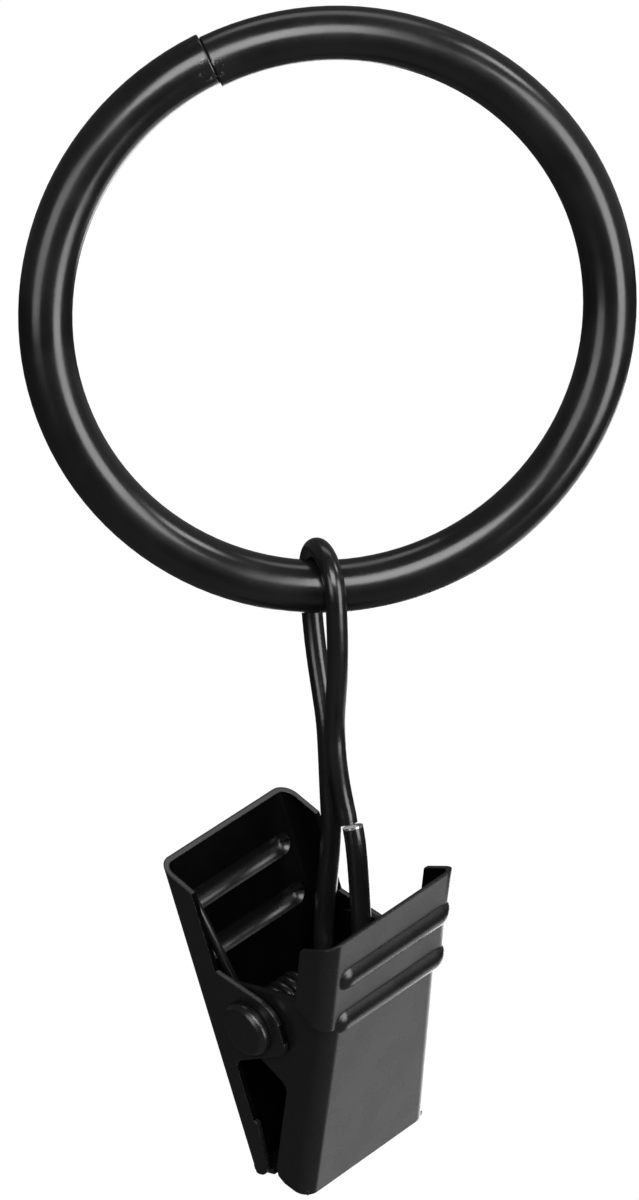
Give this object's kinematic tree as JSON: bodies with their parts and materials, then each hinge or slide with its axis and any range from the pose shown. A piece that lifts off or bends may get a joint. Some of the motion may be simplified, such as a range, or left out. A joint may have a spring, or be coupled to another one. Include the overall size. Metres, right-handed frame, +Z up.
{
  "type": "curtain ring with clip",
  "caption": "Round steel curtain ring for a rod, with a wire link hanging from it and a spring clip on the link that grips the top of a curtain between toothed sheet metal jaws.",
  "frame": {"origin": "centre of the ring's hole, where the curtain rod passes", "axes": "+Z up, away from the hanging clip; +Y along the rod, through the ring's hole; +X to the right across the ring"},
  "size_m": [0.0461, 0.023, 0.0916],
  "materials": {
    "ring_paint": "satin gloss black",
    "link_paint": "satin gloss black",
    "jaw_paint": "satin black with a fine grain",
    "rivet_paint": "satin gloss black",
    "spring_paint": "satin gloss black"
  },
  "bodies": {
    "ring": {"ring": "ring_paint"},
    "link": {"wire_link": "link_paint"},
    "clip": {"back_jaw": "jaw_paint", "rivet_pin": "rivet_paint", "torsion_spring": "spring_paint"},
    "front": {"front_jaw": "jaw_paint"}
  },
  "joints": [
    {"name": "link_swing", "type": "hinge", "parent": "ring", "child": "link", "pos_m": [-0.00059, 0, -0.02099], "axis": [0.9996, 0, -0.0279], "range_deg": [-110, 110]},
    {"name": "clip_swing", "type": "hinge", "parent": "link", "child": "clip", "pos_m": [-0.0013, 0, -0.05257], "axis": [0.7729, 0.5816, 0.2536], "range_deg": [-6, 10]},
    {"name": "jaw_open", "type": "hinge", "parent": "clip", "child": "front", "pos_m": [-0.0013, 0, -0.05257], "axis": [-0.7729, -0.5816, -0.2536], "range_deg": [0, 24], "stiffness_Nm_per_rad": 0.06, "springref_deg": -11.46, "deforming": ["torsion_spring"]}
  ]
}
